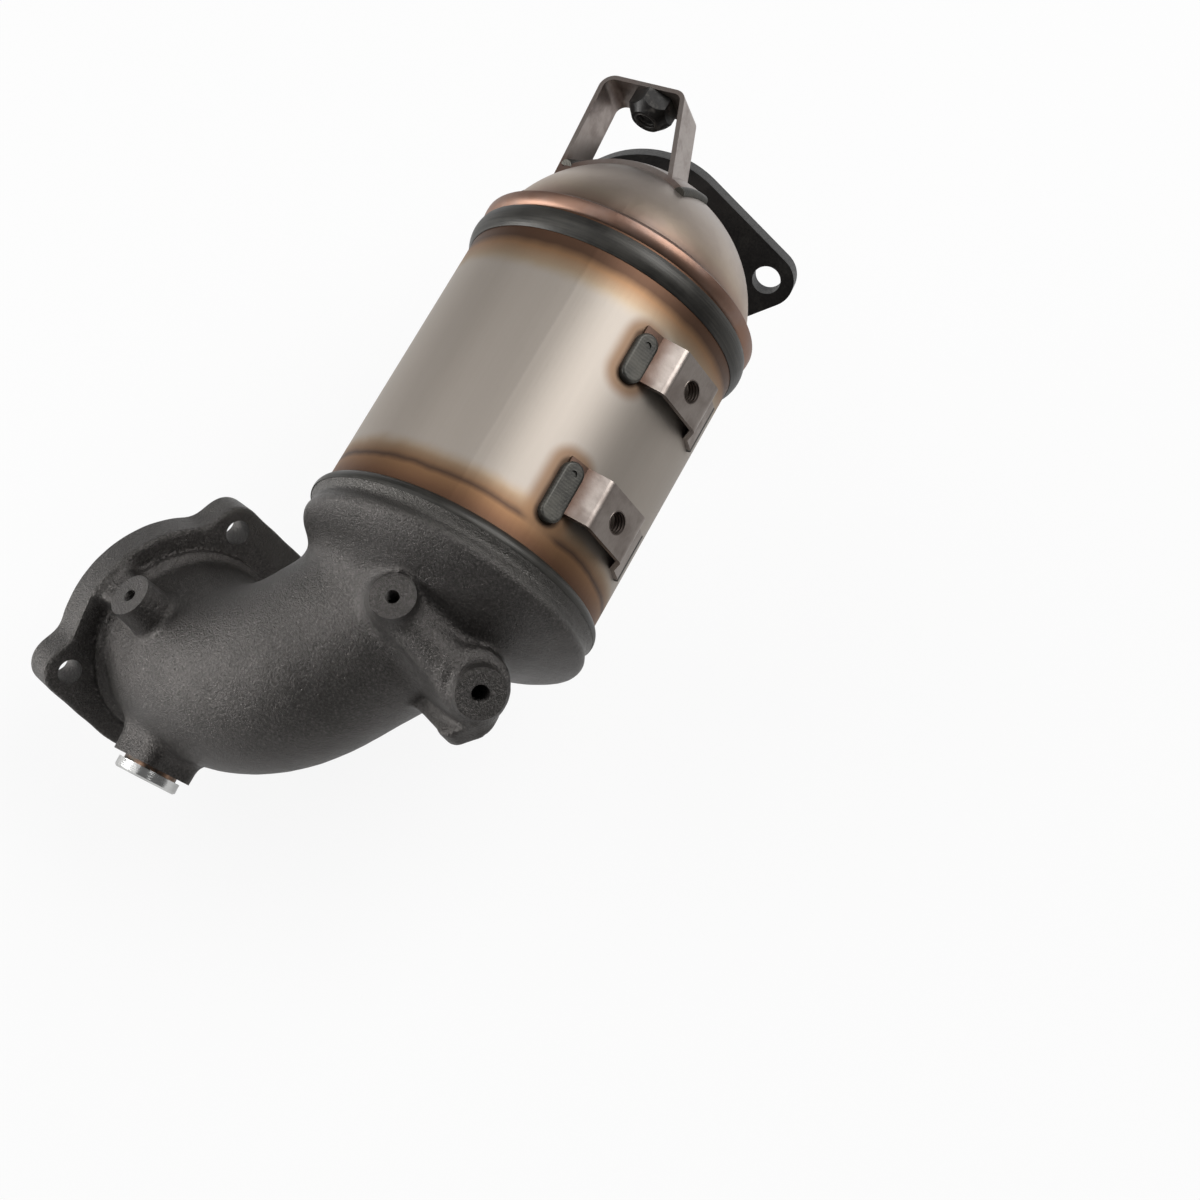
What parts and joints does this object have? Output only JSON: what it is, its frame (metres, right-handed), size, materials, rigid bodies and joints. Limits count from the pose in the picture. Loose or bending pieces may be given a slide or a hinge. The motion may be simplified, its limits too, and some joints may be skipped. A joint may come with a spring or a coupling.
{
  "type": "catalytic converter",
  "caption": "Close-coupled catalytic converter: cast inlet elbow with a bolted flange, steel can with ceramic bricks, pressed outlet end with its flange, hanger and brackets.",
  "frame": {"origin": "centre of the inlet flange's sealing face", "axes": "+X along the can from inlet to outlet, +Z towards the side that the brackets and hanger face, +Y completes the frame; the inlet flange faces away from the can on the +Y, -Z side"},
  "size_m": [0.3314, 0.2076, 0.1939],
  "materials": {
    "casting": "sand-cast, heat darkened",
    "can_steel": "satin rolled stainless",
    "pressed_steel": "satin pressed stainless",
    "weld": "dark weld bead",
    "black_flange": "black, cut edges",
    "strap_steel": "satin strip",
    "nut_steel": "plain",
    "zinc": "bright zinc",
    "ceramic": "coated honeycomb",
    "mat": "fibre mat",
    "wire_mesh": "knitted wire"
  },
  "bodies": {
    "root": {"inlet_elbow": "casting", "sensor_plug": "zinc", "sensor_plug_washer": "zinc", "inlet_weld": "weld", "can_shell": "can_steel", "outlet_weld": "weld", "outlet_cone": "pressed_steel", "outlet_flange": "black_flange", "outlet_flange_weld": "weld", "hanger_strap": "strap_steel", "hanger_nut": "nut_steel", "hanger_weld_left": "weld", "hanger_weld_right": "weld", "upper_bracket": "strap_steel", "lower_bracket": "strap_steel", "upper_bracket_weld": "weld", "lower_bracket_weld": "weld", "upper_far_weld": "weld", "lower_far_weld": "weld", "front_brick": "ceramic", "rear_brick": "ceramic", "front_mat": "mat", "rear_mat": "mat", "front_seal_ring": "wire_mesh", "rear_seal_ring": "wire_mesh"}
  },
  "joints": []
}
